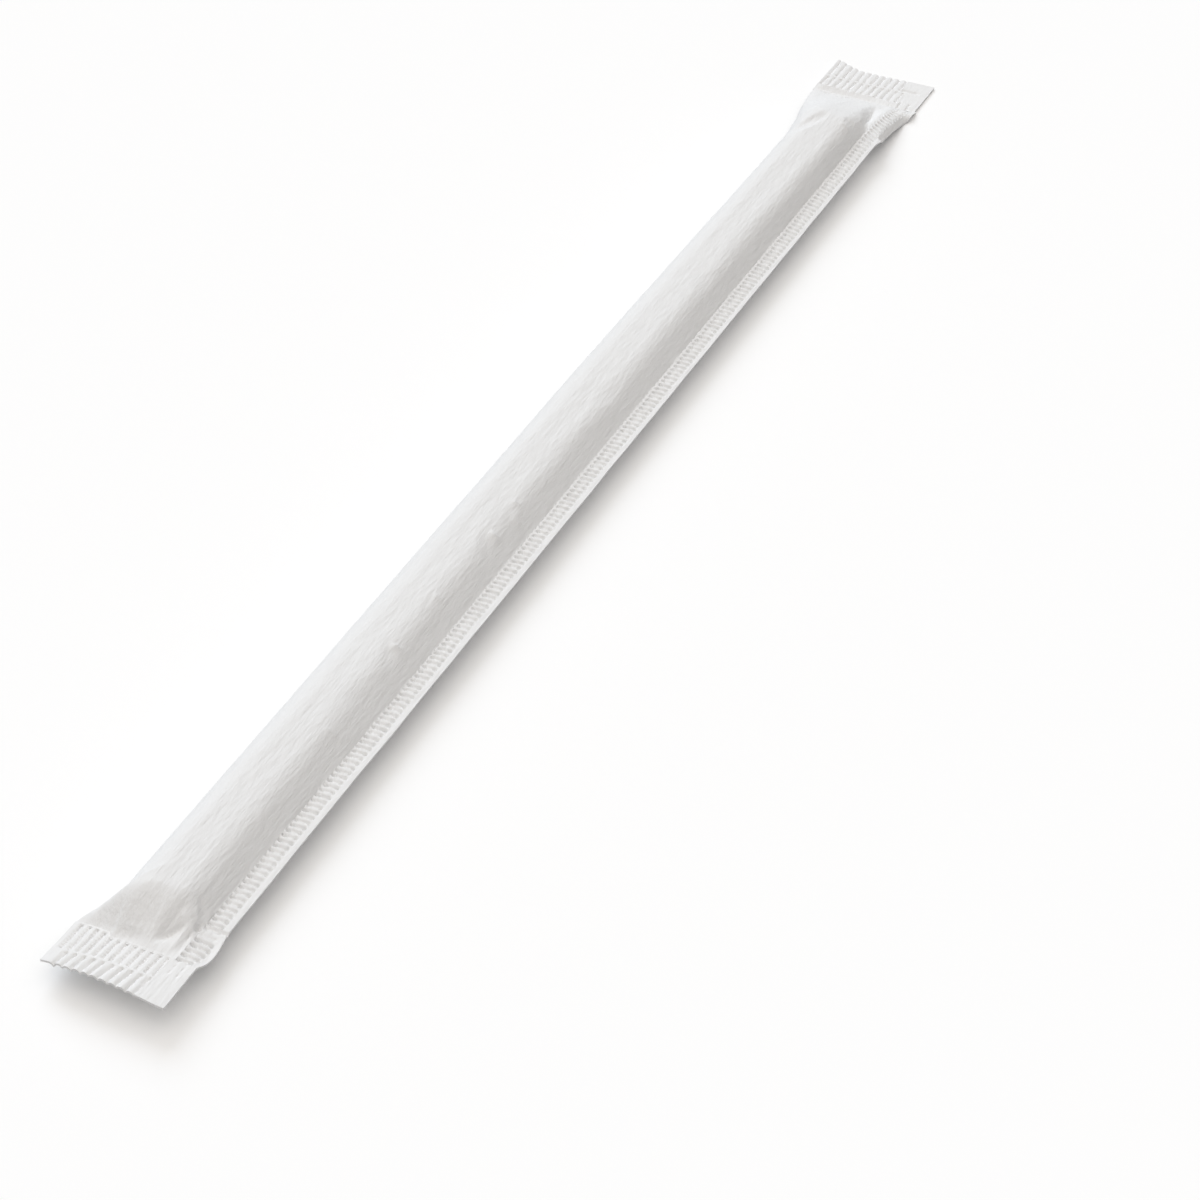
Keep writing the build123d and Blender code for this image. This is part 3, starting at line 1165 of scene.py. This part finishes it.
@dataclass(frozen=True)
class BleachedKraftPaper:
    """Bleached kraft, machine finished: thin, white and matt, with faint fibres along the strip.

    The fibres and the calender's fine crinkle run along the sleeve, and both are too shallow to be geometry.
    """

    name: str = "bleached_kraft_paper"
    light: str = "EFEFEF"
    shade: str = "E8E8E8"
    roughness: float = 0.78
    gloss: float = 0.08
    ior: float = 1.47
    fibre_length: float = 2.4
    fibre_width: float = 0.16
    fibre_depth: float = 0.015
    fibre_detail: float = 3.0
    crinkle_length: float = 2.0
    crinkle_width: float = 0.42
    crinkle_depth: float = 0.12
    crinkle_detail: float = 2.0
    grain_roughness: float = 0.55

    def build(self) -> bpy.types.Material:
        """Makes the material.

        Returns:
            The new material.
        """
        made = bpy.data.materials.new(self.name)
        tree = blank_tree(made)
        where = node(tree, "ShaderNodeTexCoord").outputs["Object"]
        fibres = self.grain(tree, where, self.fibre_length, self.fibre_width, self.fibre_detail)
        crinkle = self.grain(tree, where, self.crinkle_length, self.crinkle_width, self.crinkle_detail)
        tint = node(tree, "ShaderNodeMix",
                    {"Factor": crinkle, "A": linear(self.shade), "B": linear(self.light)}, data_type="RGBA")
        fine = node(tree, "ShaderNodeBump",
                    {"Strength": 1.0, "Distance": self.fibre_depth * MM, "Height": fibres})
        coarse = node(tree, "ShaderNodeBump",
                      {"Strength": 1.0, "Distance": self.crinkle_depth * MM, "Height": crinkle,
                       "Normal": fine.outputs["Normal"]})
        paper = node(tree, "ShaderNodeBsdfPrincipled",
                     {"Base Color": tint.outputs["Result"], "Roughness": self.roughness,
                      "Normal": coarse.outputs["Normal"], "IOR": self.ior,
                      "Specular IOR Level": self.gloss})
        node(tree, "ShaderNodeOutputMaterial", {"Surface": paper.outputs["BSDF"]})
        return made

    def grain(self, tree: bpy.types.NodeTree, where: bpy.types.NodeSocket, length: float, width: float,
              detail: float) -> bpy.types.NodeSocket:
        """Adds noise drawn out along the sleeve.

        Args:
            tree: The node tree.
            where: The coordinates to read.
            length: Size of a mark along the sleeve, in millimetres.
            width: Size of a mark across the sleeve, in millimetres.
            detail: Octaves of finer noise.

        Returns:
            The noise's output, about 0 to 1.
        """
        scale = (1.0 / (length * MM), 1.0 / (width * MM), 1.0 / (width * MM))
        drawn = node(tree, "ShaderNodeMapping", {"Vector": where, "Scale": scale})
        made = node(tree, "ShaderNodeTexNoise",
                    {"Vector": drawn.outputs["Vector"], "Scale": 1.0, "Detail": detail,
                     "Roughness": self.grain_roughness})
        return made.outputs["Fac"]


@dataclass
class Studio:
    """Pale floor, one large soft lamp behind the object, plain light from all round, and the camera."""

    floor_size: float = 6.0
    floor_gap: float = 0.02
    floor_white: str = "FEFEFE"
    floor_bounce: str = "E2E2E2"
    # Share of a painted glow on the floor that only the camera sees, which lightens the object's shadow
    floor_painted_glow: float = 0.12
    sky_colour: tuple[float, float, float] = (1.232, 1.191, 1.150)
    sky_level: float = -0.3
    sky_lean: tuple[float, float, float] = (-0.15, 0.05, 1.4)
    lamp_colour: tuple[float, float, float] = (0.9, 1.0, 1.105)
    lamp_strength: float = 1.31
    lamp_spread: float = 36.0
    lamp_from: tuple[float, float, float] = (0.64, 0.56, 0.56)
    camera_place: tuple[float, float, float] = (-0.304431, -0.149055, 0.236487)
    camera_target: tuple[float, float, float] = (-0.025069, -0.016270, 0.0)
    camera_lens: float = 100.727
    camera_sensor: float = 36.0
    camera_clip: tuple[float, float] = (0.01, 20.0)

    def build(self) -> None:
        """Adds the floor, the light and the camera to the scene."""
        self.add_floor()
        self.add_lamp()
        self.add_world()
        self.add_camera()
        bpy.context.scene.view_settings.view_transform = "Standard"

    def add_floor(self) -> None:
        """Adds the floor, which shows white and still takes the object's shadow, though a painted glow that
        only the camera sees makes that shadow lighter.
        """
        shape = bmesh.new()
        bmesh.ops.create_grid(shape, x_segments=1, y_segments=1, size=self.floor_size / 2.0)
        bmesh.ops.translate(shape, verts=shape.verts[:], vec=(0.0, 0.0, -self.floor_gap * MM))
        mesh = bpy.data.meshes.new("floor")
        shape.to_mesh(mesh)
        shape.free()
        floor = bpy.data.objects.new("floor", mesh)
        bpy.context.scene.collection.objects.link(floor)
        made = bpy.data.materials.new("white_sweep")
        tree = blank_tree(made)
        seen = node(tree, "ShaderNodeLightPath").outputs["Is Camera Ray"]
        bounce = linear(self.floor_bounce)
        white = linear(self.floor_white)
        colour = node(tree, "ShaderNodeMix", {"Factor": seen, "A": bounce, "B": white}, data_type="RGBA")
        matt = node(tree, "ShaderNodeBsdfDiffuse", {"Color": colour.outputs["Result"]})
        # Painted light: the floor glows a little where the camera sees it, which lightens the object's shadow
        # on it; the glow lights nothing else
        painted_glow = node(tree, "ShaderNodeEmission", {"Color": white, "Strength": 1.0})
        share = node(tree, "ShaderNodeMath", {0: seen, 1: self.floor_painted_glow}, operation="MULTIPLY")
        lit = node(tree, "ShaderNodeMixShader",
                   {"Fac": share.outputs["Value"], 1: matt.outputs["BSDF"], 2: painted_glow.outputs["Emission"]})
        node(tree, "ShaderNodeOutputMaterial", {"Surface": lit.outputs["Shader"]})
        mesh.materials.append(made)

    def add_lamp(self) -> None:
        """Adds the soft lamp that casts the object's shadow towards the viewer's right."""
        lamp = bpy.data.lights.new("soft_lamp", "SUN")
        lamp.energy = self.lamp_strength
        lamp.color = self.lamp_colour
        lamp.angle = radians(self.lamp_spread)
        holder = bpy.data.objects.new("soft_lamp", lamp)
        holder.rotation_euler = Vector(self.lamp_from).to_track_quat("Z", "Y").to_euler()
        bpy.context.scene.collection.objects.link(holder)

    def add_world(self) -> None:
        """Adds the light from all round, brightest overhead, which looks white where the camera sees it."""
        world = bpy.data.worlds.new("studio")
        bpy.context.scene.world = world
        tree = blank_tree(world)
        path = node(tree, "ShaderNodeLightPath")
        where = node(tree, "ShaderNodeTexCoord").outputs["Generated"]
        above = node(tree, "ShaderNodeVectorMath", {0: where, 1: self.sky_lean}, operation="DOT_PRODUCT")
        level = node(tree, "ShaderNodeMath", {0: above.outputs["Value"], 1: self.sky_level}, operation="ADD")
        lit = node(tree, "ShaderNodeMath", {0: level.outputs["Value"], 1: 0.0}, operation="MAXIMUM")
        soft = node(tree, "ShaderNodeBackground",
                    {"Color": (*self.sky_colour, 1.0), "Strength": lit.outputs["Value"]})
        white = node(tree, "ShaderNodeBackground", {"Color": (1.0, 1.0, 1.0, 1.0), "Strength": 1.0})
        seen = node(tree, "ShaderNodeMixShader",
                    {"Fac": path.outputs["Is Camera Ray"], 1: soft.outputs["Background"],
                     2: white.outputs["Background"]})
        node(tree, "ShaderNodeOutputWorld", {"Surface": seen.outputs["Shader"]})

    def add_camera(self) -> None:
        """Adds the camera at the photograph's place and angle."""
        camera = bpy.data.cameras.new("camera")
        camera.lens = self.camera_lens
        camera.sensor_width = self.camera_sensor
        camera.clip_start, camera.clip_end = self.camera_clip
        holder = bpy.data.objects.new("camera", camera)
        holder.location = self.camera_place
        look = Vector(self.camera_target) - Vector(self.camera_place)
        holder.rotation_euler = look.to_track_quat("-Z", "Y").to_euler()
        bpy.context.scene.collection.objects.link(holder)
        bpy.context.scene.camera = holder


# Each crease gives its start, its end, its rise, its width on the left and on the right, and its peak. Each
# dent gives its centre, its half length and half width, its depth and its turn in degrees.

# Where the sleeve is drawn in to the near seal: the deep fold beside the straw, and small puckers round it
NEAR_FOLDS = [
    Crease((-99.9, -1.6), (-95.6, -4.0), -0.8, 1.2, 1.8, 0.5),
    Crease((-99.7, -1.75), (-93.6, -3.0), -0.42, 1.35, 1.2, 0.45),
    Crease((-100.7, -3.86), (-95.8, -3.95), 0.22, 0.45, 0.3, 0.6),
    Crease((-100.7, -4.62), (-96.0, -4.6), -0.28, 0.5, 0.2, 0.7),
    Crease((-100.4, 2.95), (-95.2, 3.3), -0.2, 1.2, 0.5, 0.25),
    Crease((-100.6, 0.75), (-95.0, 0.4), -0.1, 0.35, 0.3, 0.3),
    Crease((-100.5, 0.2), (-96.0, -0.5), -0.08, 0.3, 0.3, 0.3),
    Crease((-97.6, 5.2), (-90.4, 0.6), 0.14, 0.4, 1.0, 0.55),
    Crease((-99.0, 2.0), (-95.5, 2.4), 0.08, 0.3, 0.3, 0.5),
    Dent((-99.7, 1.0), 1.1, 2.3, 0.2),
    Dent((-98.6, 4.6), 2.6, 1.5, 0.16, -20.0),
    Dent((-95.7, -4.72), 0.75, 0.42, 0.6),
    Dent((-95.4, -3.9), 2.4, 1.2, -0.22, 15.0),
    Crease((-95.8, -4.6), (-92.6, -3.0), 0.16, 0.35, 0.3, 0.4),
    Dent((-93.6, -3.9), 1.5, 0.8, 0.16, 35.0),
]

# Along the body: short creases that run up from the seam to the shoulder, with a soft hollow beside some
BODY_FOLDS = [
    Crease((-64.2, -4.4), (-64.6, -2.0), 0.22, 1.0, 0.25, 0.7),
    Crease((-48.4, -3.8), (-49.0, -1.6), 0.34, 1.3, 0.3, 0.7),
    Crease((-38.4, -3.4), (-38.8, -1.8), 0.24, 0.9, 0.25, 0.7),
    Crease((-25.4, -4.1), (-24.8, -1.9), 0.34, 1.9, 0.3, 0.7),
    Crease((-18.4, -3.2), (-18.8, -1.7), 0.24, 0.8, 0.3, 0.7),
    Crease((-82.0, -4.6), (-79.4, -2.6), 0.1, 0.8, 0.3, 0.6),
    Crease((40.0, -4.4), (43.5, -2.9), 0.1, 0.8, 0.4, 0.6),
    Dent((-50.5, -2.5), 3.2, 1.3, 0.16, 20.0),
    Dent((-27.0, -2.6), 3.0, 1.2, 0.15, 20.0),
    Dent((-21.0, -3.6), 1.6, 0.9, -0.18, 40.0),
    Dent((7.0, -2.2), 4.5, 1.2, 0.1),
    Dent((35.0, -2.3), 4.0, 1.2, 0.1, 10.0),
]

# Where the sleeve is drawn in to the far seal: the deep valley beside the seam, and a hollow on the straw
FAR_FOLDS = [
    Crease((84.0, -4.95), (97.6, -2.2), -1.05, 1.5, 2.4, 0.5),
    Crease((81.2, -4.7), (81.5, -2.4), 0.24, 0.8, 0.35, 0.6),
    Dent((82.9, -3.6), 1.4, 0.9, 0.25, 60.0),
    Crease((84.4, -4.5), (88.6, -3.1), 0.1, 0.4, 0.4, 0.5),
    Crease((95.3, -3.0), (96.8, -3.9), -0.2, 0.35, 0.35, 0.6),
    Dent((79.2, 0.9), 4.6, 1.15, 0.45, -18.0),
    Crease((74.0, 2.5), (83.6, -0.3), 0.12, 0.4, 0.8, 0.5),
]


def main() -> None:
    """Builds the sleeve and the studio, and reports each piece."""
    logging.basicConfig(level=logging.INFO, format="%(message)s")
    layout = Layout()
    near = NearSeal(layout)
    far = FarSeal(layout)
    seam = SideSeam(layout, near=near, far=far)
    tube = Tube(layout, near=near, far=far, seam=seam, folds=NEAR_FOLDS + BODY_FOLDS + FAR_FOLDS)
    paper = BleachedKraftPaper().build()
    for part in (tube, seam, near, far):
        piece = part.build()
        piece.data.materials.append(paper)
        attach(piece, "root")
        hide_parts(NODE)
        LOG.info("%s: %d faces", piece.name, len(piece.data.polygons))
    Studio().build()


if __name__ == "__main__":
    main()
